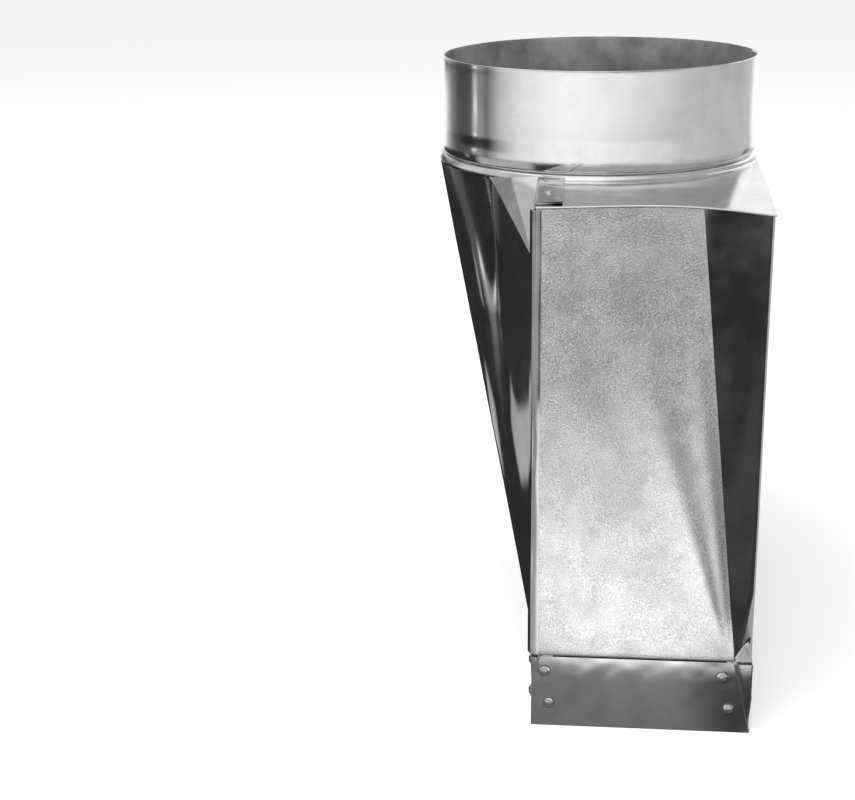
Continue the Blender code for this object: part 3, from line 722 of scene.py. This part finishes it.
def wrap_main():
    """Main sheet: the flat middle, the cone and the corner, from the spigot up to the ring."""
    low = Vector((TAPER_X, SEAM_Y, BODY_Z))
    arc = [polar(RING_CREST - 0.0003, a, WRAP_TOP) for a in span(180.0, SHOULDER_TURN, 40)]
    away = Vector((-0.93, -0.37, 0))
    rows = []
    for s in span(0.0, FOOT_SHARE, FOOT_LEVELS) + span(FOOT_SHARE, 1.0, 16)[1:]:
        drawn = s - 0.058 * (1 - s) ** 1.25 * ease(s / 0.06)
        section = [Vector((lerp(TAPER_X, arc[0].x, drawn), 0.0, 0.0))]
        section += [low.lerp(a, drawn) for a in arc]
        rise = max((s - FOOT_SHARE) / (1 - FOOT_SHARE), 0.0)
        section.append(SHOULDER_FOOT.lerp(arc[-1], rise))
        for p in section:
            p.z = 0.0
        swell = math.sin(math.pi * clamp(s))
        rounding = 0.0055 * swell ** 0.6 * (1 - ease((s - 0.72) / 0.26)) + 0.0004
        row = softened(section, rounding, WRAP_POINTS)
        z = lerp(BODY_Z, WRAP_TOP, s)
        for k, p in enumerate(row):
            p.z = z
            waves = 0.00016 * ripple(p.y * 34, p.x * 20, z * 17, 21)
            waves += (0.0003 * bell((s - 0.68) / 0.06) * ripple(p.y * 60, 0.0, z * 60, 23)
                      * clamp((100 - k) / 40))
            p += away * waves * (swell ** 0.5 * clamp((WRAP_POINTS - k) / 10))
        rows.append(row)
    return rows


def wrap_shoulder(joints):
    """Twisted facet from the main sheet's edge over to the neck, the plate and the seam."""
    meet_y = -math.sqrt((WRAP_NECK + GAP) ** 2 - TAPER_X ** 2)
    tops = (
        polar(WRAP_NECK, 240.5, lerp(WRAP_TOP, NECK_Z, 0.75)),
        Vector((TAPER_X, meet_y, NECK_Z + LAYER)),
        Vector((TAPER_X, TAB_Y, WRAP_CORNER)),
        Vector((TAPER_X, SEAM_Y, WRAP_CORNER)),
    )
    rows = []
    for n, joint in enumerate(joints):
        corners = [joint, *(SHOULDER_FOOT.lerp(top, n / (len(joints) - 1)) for top in tops)]
        row = []
        for a, b, count in zip(corners, corners[1:], SHOULDER_STEPS):
            row += [a.lerp(b, i / count) for i in range(count)]
        row.append(corners[-1])
        for p in row:
            p.x = max(p.x, OUTLINE_X)
        rows.append(row)
    return rows


def wrap_flap(fold):
    """Flap turned over from its fold on the shoulder to lie on the top plate."""
    rows = [[p.copy() for p in fold]]
    for t in (0.08, 0.2, *span(0.3, 1.0, 10)):
        x = lerp(TAPER_X, TAPER_X + TAB_WIDTH, t)
        inner = -math.sqrt((WRAP_NECK + GAP) ** 2 - x * x)
        row = []
        for step in span(0.0, 1.0, len(fold) - 1):
            y = lerp(inner, TAB_Y, step)
            plate = plate_height(x, clamp((y - plate_edge(x)) / (PLATE_Y - plate_edge(x))))
            lift = 0.0003 * ease((step - 0.8) / 0.2) * ease((t - 0.3) / 0.7)
            lift += 0.00014 * (1 + ripple(x * 260, y * 260, 0.0, 31)) * ease(t / 0.3)
            lift -= 0.0001 * ease(t / 0.3)
            row.append(Vector((x, y, plate + LAYER + lift)))
        rows.append(row)
    return rows


def taper_wrap(mat):
    """The drawn-out side: main sheet, shoulders, flaps and the lip inside the spigot."""
    main = wrap_main()
    shoulder = wrap_shoulder([row[-1] for row in main[FOOT_LEVELS:]])
    start = sum(SHOULDER_STEPS[:2])
    flap = wrap_flap(shoulder[-1][start:start + SHOULDER_STEPS[2] + 1])
    lip = [[Vector((TAPER_X + inward, max(p.y, FRONT_Y + LIP_SETBACK), z)) for p in main[0]]
           for z, inward in (*LIP, (0.0349, 0.0022), (0.0353, 0.0017))]
    patches = [main, shoulder, flap, [*lip, main[0]]]
    patches += [mirrored(rows) for rows in patches]
    return sheet("taper_wrap_drawn", patches, mat, ["taper_wrap"])


def corner_lock(name, mat, back, nodes):
    """Folded strip that locks the wrap to a broad panel along their corner."""
    width, fold_back = 0.0036, 0.0035
    run = polar(NECK_RADIUS, 226.0, 0.0) - Vector((TAPER_X, SEAM_Y, 0))
    run.normalize()
    start = Vector((TAPER_X, SEAM_Y, 0)) + Vector((-run.y, run.x, 0)) * LAYER
    edge = start + run * ((FRONT_Y - LAYER - start.y) / run.y)
    line = [edge + run * fold_back, edge, edge + Vector((width, 0, 0))]
    rows = []
    for z in span(BODY_Z + GAP, edge_height(TAPER_X) - LAYER - GAP, 60):
        row = softened(line, 0.0006, 30)
        for k, p in enumerate(row):
            across = clamp((p.x - edge.x) / width)
            face = clamp((k - 14) / 4)
            p.y += 0.0003 * (1 - across) ** 2 * face - 0.0002
            p.y += 0.00012 * ripple(p.x * 90, 0.0, z * 45, 41) * face
            p.y = max(p.y, OUTLINE_Y)
            p.z = z
        rows.append(row)
    return sheet(name, [rows], mat, nodes, back)


# --- rectangular end ---
def strip_waves(x, y, z, seed):
    """Soft waves of a spigot strip, calm at its two long edges."""
    free = math.sin(math.pi * clamp(z / BAND_TOP)) ** 0.3
    waves = 0.00013 * ripple(x * 38, y * 38, z * 50, seed)
    waves += 0.00008 * ripple(x * 120, y * 120, z * 150, seed)
    return free * waves


def spigot_broad(name, mat, back, nodes):
    """Front or back strip; both of its ends slant back towards the top."""
    face = FRONT_Y + STRIP_IN
    rows = []
    for z in span(STRIP_FOOT, BAND_TOP, 24):
        a = TAPER_X + GAP + TAPER_CUT * z / BAND_TOP
        b = FLUSH_X - GAP - FLUSH_CUT * z / BAND_TOP
        rows.append([Vector((x, face + strip_waves(x, 0, z, 51 + back), z))
                     for x in span(a, b, 80)])
    return sheet(name, [rows], mat, nodes, back, edge_width=THIN_EDGE, thickness=THIN_SHEET)


def spigot_side(name, mat, x, cut, nodes):
    """Flush or taper side strip, its ends slanting back towards the top."""
    face = x + (-STRIP_IN if x > 0 else STRIP_IN)
    rows = []
    for z in span(STRIP_FOOT, BAND_TOP, 24):
        end = FRONT_Y + LAYER + cut * z / BAND_TOP
        rows.append([Vector((face + strip_waves(0, y, z, 55 + (x > 0)), y, z))
                     for y in span(end, -end, 140)])
    return sheet(name, [rows], mat, nodes, edge_width=THIN_EDGE, thickness=THIN_SHEET)


def corner_angle(name, mat, x, back, nodes):
    """Angle inside a spigot corner; it fills the corner where the strips' ends slant back."""
    inward = -1 if x > 0 else 1
    cut = FLUSH_CUT if x > 0 else TAPER_CUT
    cx, cy = x + inward * LAYER, FRONT_Y + LAYER
    rows = []
    for z in span(GAP, BAND_TOP - 2 * GAP, 16):
        bare = cut * z / BAND_TOP
        out = 0.00105 * ease(bare / 0.004)
        line = [
            (cx + inward * ANGLE_LEG, cy, 0),
            (cx + inward * (bare + 0.0022), cy, 0),
            (cx + inward * bare * 0.75 - inward * out, cy - out, 0),
            (cx - inward * out, cy - out, 0),
            (cx - inward * out, cy + bare * 0.75 - out, 0),
            (cx, cy + bare + 0.0022, 0),
            (cx, cy + ANGLE_LEG, 0),
        ]
        rows.append([Vector((p.x, p.y, z)) for p in softened(line, 0.0004, 90)])
    return sheet(name, [rows], mat, nodes, back, edge_width=THIN_EDGE, thickness=THIN_SHEET)


# --- rivets ---
HEAD_PROUD = 0.0015  # a head's height over its sheet
DEEP_RIVET = 0.0056  # a rivet longer than this goes through the body's lip too


def rivet_places():
    """Centre of each rivet on the sheet's outer face, its axis, and its CAD node."""
    places = {"upper": [], "lower": []}
    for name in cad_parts:
        if not name.startswith("rivet_"):
            continue
        low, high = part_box(name)
        centre = (low + high) / 2
        if "tab" in name:
            axis = Vector((0, 0, 1))
            centre.z = high.z - HEAD_PROUD
        elif "side" in name:
            axis = Vector((1 if centre.x > 0 else -1, 0, 0))
            centre.x = FLUSH_X if centre.x > 0 else TAPER_X
        else:
            axis = Vector((0, 1 if centre.y > 0 else -1, 0))
            centre.y = -FRONT_Y if centre.y > 0 else FRONT_Y
        deep = (high - low).dot(Vector([abs(v) for v in axis])) > DEEP_RIVET
        places["upper" if deep else "lower"].append((centre, axis, name))
    return places


def rivets(turning, riveting, mat):
    """Blind rivets: a domed head with the broken pin sunk in its middle, shank and tail."""
    for seed, (kind, places) in enumerate(rivet_places().items()):
        seat = -0.0033 if kind == "upper" else -0.0022
        tail = [(0.0, seat - 0.0014), (0.0016, seat - 0.0014), (0.0023, seat - 0.0008),
                (0.0023, seat), (0.0016, seat)]
        head = [
            (0.0016, 0.0001), (0.0027, 0.0001), (0.0028, 0.00025), (0.0027, 0.00042),
            (0.0023, 0.0005), (0.0019, 0.00062), (0.00165, 0.00085), (0.0014, 0.00108),
            (0.0011, 0.00122), (0.00085, 0.00122), (0.0007, 0.001), (0.00062, 0.0006),
        ]
        pin = [(0.0005, 0.0006), (0.0004, 0.0008), (0.0002, 0.0009), (0.0, 0.0009)]
        rivet = turned(f"rivet_{kind}", turning, tail + head + pin, False, {
            "Radius": 0.003, "Turn": math.tau, "Steps": 25, "Joggle": 0.0, "Step": 0.0,
            "Waviness": 0.0, "Waves": 1.0, "Seed": 0.0, "Material": mat})
        mesh = bpy.data.meshes.new(f"rivets_{kind}")
        mesh.from_pydata([p for p, _, _ in places], [], [])
        axes = mesh.attributes.new("axis", "FLOAT_VECTOR", "POINT")
        for entry, (_, axis, _) in zip(axes.data, places):
            entry.vector = axis
        obj = run_tree(add_object(mesh.name, mesh), riveting, {
            "Rivet": rivet, "Seed": seed, "Lean": 0.035, "Material": mat})
        bpy.data.objects.remove(rivet)
        finished(obj, mat, [name for _, _, name in places])


# --- the fitting ---
place_camera()
bright, matt = galvanised_bright(), galvanised_matt()
turning = turning_tree()
round_collar(turning, bright, galvanised_dull())
neck_ring(turning, bright)
flush_side_sheet(bright)
taper_wrap(bright)
spigot_side("band_flush", bright, FLUSH_X, FLUSH_CUT, ["spigot_flush_side"])
spigot_side("band_taper", bright, TAPER_X, TAPER_CUT, ["spigot_taper_side"])
for end, back in (("front", False), ("back", True)):
    top_plate(f"shelf_{end}", bright, back, [f"top_plate_{end}"])
    broad_panel(f"panel_{end}", matt, back, [f"{end}_panel"])
    corner_lock(f"lock_{end}", bright, back, [f"{end}_corner_lock"])
    spigot_broad(f"band_{end}", bright, back, [f"spigot_{end}"])
    for side, x in (("flush", FLUSH_X), ("taper", TAPER_X)):
        corner_angle(f"angle_{end}_{side}", bright, x, back, [f"corner_angle_{end}_{side}"])
rivets(turning, riveting_tree(), rivet_steel())


# --- studio ---
# What the gloss sees: walls, and a table round the fitting. A level is a strength, 1 is white.
SURROUND_RADIUS = 3.0
EYE = Vector((0, 0, 0.15))  # middle of the walls' dome
DARK_FELT = 0.03  # level of the bare table
TABLE_EDGE = 1.38
TABLE_END = 2.3  # past it the table turns into the walls

# round the fitting: azimuth from the front towards +X in degrees, level; joined smoothly
FAR_TABLE = (
    (-180, 1.15), (-152, 1.05), (-143, 0.6), (-134, 0.26), (-122, 0.1), (-106, 0.11),
    (-94, 0.4), (-87, 0.2), (-80, 0.46), (-73, 0.72), (-56, 1.0), (-26, 1.28), (15, 1.15),
    (61, 0.72), (96, 0.6), (126, 0.58), (141, 0.62), (150, 1.15), (180, 1.15),
)
WALLS = (
    (-180, 1.05), (-160, 1.0), (-152, 0.1), (-122, 0.06), (-116, 0.025), (-84, 0.025),
    (-76, 0.35), (-60, 0.9), (-20, 1.15), (15, 1.1), (60, 0.72), (90, 0.6), (140, 0.62),
    (150, 1.1), (180, 1.1),
)
FRONT_SKY = (
    (-180, 0.45), (-165, 0.6), (-152, 0.9), (-142, 0.5), (-128, 0.27), (-115, 0.8),
    (-75, 0.62), (-60, 0.62), (-48, 0.4), (-38, 0.3), (-28, 0.5), (-18, 0.62), (15, 0.58),
    (50, 0.45), (125, 0.42), (132, 1.3), (160, 1.3), (172, 1.05), (175, 0.35), (180, 0.45),
)
ZENITH = (
    (-180, 1.35), (-155, 1.3), (-140, 0.72), (-126, 0.5), (-105, 1.3), (-60, 1.35),
    (20, 1.3), (60, 0.5), (150, 0.5), (165, 1.3), (180, 1.35),
)
# lamps lying on the table behind the taper side: from, to (x, y), half width, level at both ends
LAMPS = (
    ((-0.2, 0.178), (-0.45, 0.222), 0.06, 0.52, 0.42),
    ((-1.02, 0.32), (-1.48, 0.56), 0.05, 0.5, 0.1),
)
# sheets of card: level, then from, to and softness of the edges in x and in y
CARDS = (
    (0.36, (-0.36, -0.1, 0.04), (-1.3, -0.55, 0.1)),
    (0.5, (0.08, 0.4, 0.03), (-0.134, 0.3, 0.02)),
)
# card bent round the fitting: level, then from, to and softness in azimuth and in reach
ARCS = (
    (0.5, (-97, -46, 8), (0.5, 1.3, 0.1)),
    (0.5, (66, 130, 6), (0.35, 1.6, 0.1)),
)


def around(reach, azimuth, z):
    """A point by its azimuth from the front towards +X."""
    a = math.radians(azimuth)
    return Vector((reach * math.sin(a), -reach * math.cos(a), z))


def azimuth_of(x, y):
    return math.degrees(math.atan2(x, -y))


def level_at(table, value):
    for (a, low), (b, high) in zip(table, table[1:]):
        if a <= value <= b:
            return lerp(low, high, (value - a) / (b - a))
    return table[-1][1]


def band(value, start, end, soft):
    """1 between start and end, easing out over soft on both sides."""
    return ease((value - start) / soft + 0.5) * ease((end - value) / soft + 0.5)


def wall_level(p):
    """Level of the walls at a point, from the table's height up to straight overhead."""
    d = p - EYE
    azimuth = azimuth_of(d.x, d.y)
    elevation = math.degrees(math.asin(clamp((d.z / d.length + 1) / 2) * 2 - 1))
    walls, sky = level_at(WALLS, azimuth), level_at(FRONT_SKY, azimuth)
    level = lerp(walls, sky, ease((elevation - 6) / 8))
    return lerp(level, level_at(ZENITH, azimuth), ease((elevation - 40) / 14))


def lamp_level(x, y):
    level = 0.0
    for (x0, y0), (x1, y1), wide, near, far in LAMPS:
        length = math.hypot(x1 - x0, y1 - y0)
        along = ((x - x0) * (x1 - x0) + (y - y0) * (y1 - y0)) / length
        off = abs((x - x0) * (y1 - y0) - (y - y0) * (x1 - x0)) / length
        shape = band(along, 0, length, 0.03) * (1 - ease((off - wide) / 0.03 + 0.5))
        level = max(level, lerp(near, far, clamp(along / length)) * shape)
    return level


def paper_level(x, y):
    """White paper in front of the fitting, in shade on its taper side."""
    right = lerp(0.1, 0.05, (-y - 0.2) / 0.3)
    shade = lerp(0.012, 0.03, (-y - 0.2) / 0.1)
    paper = lerp(1.4, 1.02, (-y - 0.25) / 0.3) * lerp(1.0, 0.32, ease((-x - shade) / 0.03))
    return paper * band(x, -0.2, right, 0.06) * band(y, -0.58, -0.19, 0.03)


def table_level(p):
    """Level of the table at a point: dark felt, paper, cards, lamps, its far end, the walls."""
    x, y = p.x, p.y
    azimuth, reach = azimuth_of(x, y), math.hypot(x, y)
    level = DARK_FELT
    if 5 < azimuth < 60:
        sheen = 1 + ripple(azimuth * 0.3, reach, 0.0, 61)
        level = 0.022 + 0.035 * sheen * ease((1.1 - reach) / 0.6)
    fore_edge = lerp(0.2, 0.05, ease((x - 0.035) / 0.035))
    back_card = 0.6 * ease((x + 0.12) / 0.15)
    level = max(
        level, paper_level(x, y), lamp_level(x, y),
        band(x, -0.2, 0.2, 0.02) * band(y, -0.195, -0.09, 0.015) * fore_edge,
        band(x, -0.8, 0.8, 0.2) * band(y, 0.2, 1.3, 0.1) * back_card,
        *(card * band(x, *across) * band(y, *deep) for card, across, deep in CARDS),
        *(card * band(azimuth, *turn) * band(reach, *deep) for card, turn, deep in ARCS),
    )
    edge = TABLE_EDGE + 0.1 * band(azimuth, 8, 60, 8)
    level = lerp(level, level_at(FAR_TABLE, azimuth), ease((reach - edge) / 0.12 + 0.5))
    collar_streak = 1.9 * band(azimuth, -102.5, -98, 2.5) * band(reach, 1.78, 2.05, 0.16)
    level = max(level, collar_streak)
    return lerp(level, level_at(WALLS, azimuth), ease((reach - TABLE_END) / 0.3 + 0.5))


def surround():
    """Studio walls and table that only the gloss sees, as the flags and cards of a metal shot."""
    turn = span(-180.0, 180.0, 360)
    dome = []
    for elevation in span(-10.5, 90.0, 50):
        up = math.radians(elevation)
        reach, z = SURROUND_RADIUS * math.cos(up), EYE.z + SURROUND_RADIUS * math.sin(up)
        dome.append([around(reach, a, z) for a in turn])
    table = []
    for step in span(0.0, 1.0, 160):
        reach = 0.02 * (SURROUND_RADIUS / 0.02) ** step
        table.append([around(reach, a, -0.0004) for a in turn])
    bm = bmesh.new()
    levels = bm.loops.layers.float_color.new("level")
    for rows, level_of in ((dome, wall_level), (table, table_level)):
        for face in grid_faces(bm, rows):
            for loop in face.loops:
                value = level_of(loop.vert.co)
                loop[levels] = (value, value, value, 1.0)
    mesh = bpy.data.meshes.new("studio_surround")
    bm.to_mesh(mesh)
    bm.free()
    obj = add_object("studio_surround", mesh)
    mat, tree = new_material("studio_surround")
    mat.cycles.emission_sampling = "NONE"
    level = add_node(tree, "ShaderNodeAttribute", attribute_name="level")
    glow = add_node(tree, "ShaderNodeEmission", {"Color": level, "Strength": 1.0})
    add_node(tree, "ShaderNodeOutputMaterial", {"Surface": glow})
    mesh.materials.append(mat)
    obj.visible_camera = False
    obj.visible_diffuse = False
    obj.visible_shadow = False
    obj.visible_transmission = False


def studio_world():
    """Soft light from all round; the camera and the gloss see it as plain white."""
    world = bpy.data.worlds.new("studio")
    bpy.context.scene.world = world
    world.use_nodes = True
    tree = world.node_tree
    tree.nodes.clear()
    path = add_node(tree, "ShaderNodeLightPath").outputs
    seen = add_node(tree, "ShaderNodeMath", {
        0: path["Is Camera Ray"], 1: path["Is Glossy Ray"]}, operation="ADD")
    seen = add_node(tree, "ShaderNodeMath", {
        0: seen, 1: path["Is Transmission Ray"]}, operation="ADD", use_clamp=True)
    soft = add_node(tree, "ShaderNodeBackground", {"Color": linear("#E6E6E6"), "Strength": 0.8})
    white = add_node(tree, "ShaderNodeBackground", {"Color": (1, 1, 1, 1), "Strength": 1.0})
    mix = add_node(tree, "ShaderNodeMixShader", {0: seen, 1: soft, 2: white})
    add_node(tree, "ShaderNodeOutputWorld", {"Surface": mix})


def studio_floor():
    """Pale paper floor, lifted for the camera so that it is nearly white and keeps a shadow."""
    half = 6.0
    mesh = bpy.data.meshes.new("studio_floor")
    mesh.from_pydata([(-half, -half, 0), (half, -half, 0), (half, half, 0), (-half, half, 0)],
                     [], [(0, 1, 2, 3)])
    floor = add_object("studio_floor", mesh)
    mat, tree = new_material("studio_floor")
    paper = add_node(tree, "ShaderNodeBsdfDiffuse", {"Color": linear("#EDEDED")})
    glow = add_node(tree, "ShaderNodeEmission", {"Color": (1, 1, 1, 1), "Strength": 0.3})
    path = add_node(tree, "ShaderNodeLightPath").outputs
    glow_seen = add_node(tree, "ShaderNodeMixShader", {0: path["Is Camera Ray"], 2: glow})
    both = add_node(tree, "ShaderNodeAddShader", {0: paper, 1: glow_seen})
    add_node(tree, "ShaderNodeOutputMaterial", {"Surface": both})
    mesh.materials.append(mat)
    floor.visible_glossy = False


def softbox():
    """One large softbox, high in front, that the gloss doesn't see."""
    light = bpy.data.lights.new("softbox", "AREA")
    light.shape = "SQUARE"
    light.size = 2.0
    light.energy = 45
    lamp = add_object("softbox", light)
    lamp.location = (-0.6, -1.0, 2.4)
    lamp.visible_glossy = False
    lamp.rotation_euler = (EYE - lamp.location).to_track_quat("-Z", "Y").to_euler()


surround()
studio_world()
studio_floor()
softbox()
bpy.context.scene.view_settings.view_transform = "Standard"
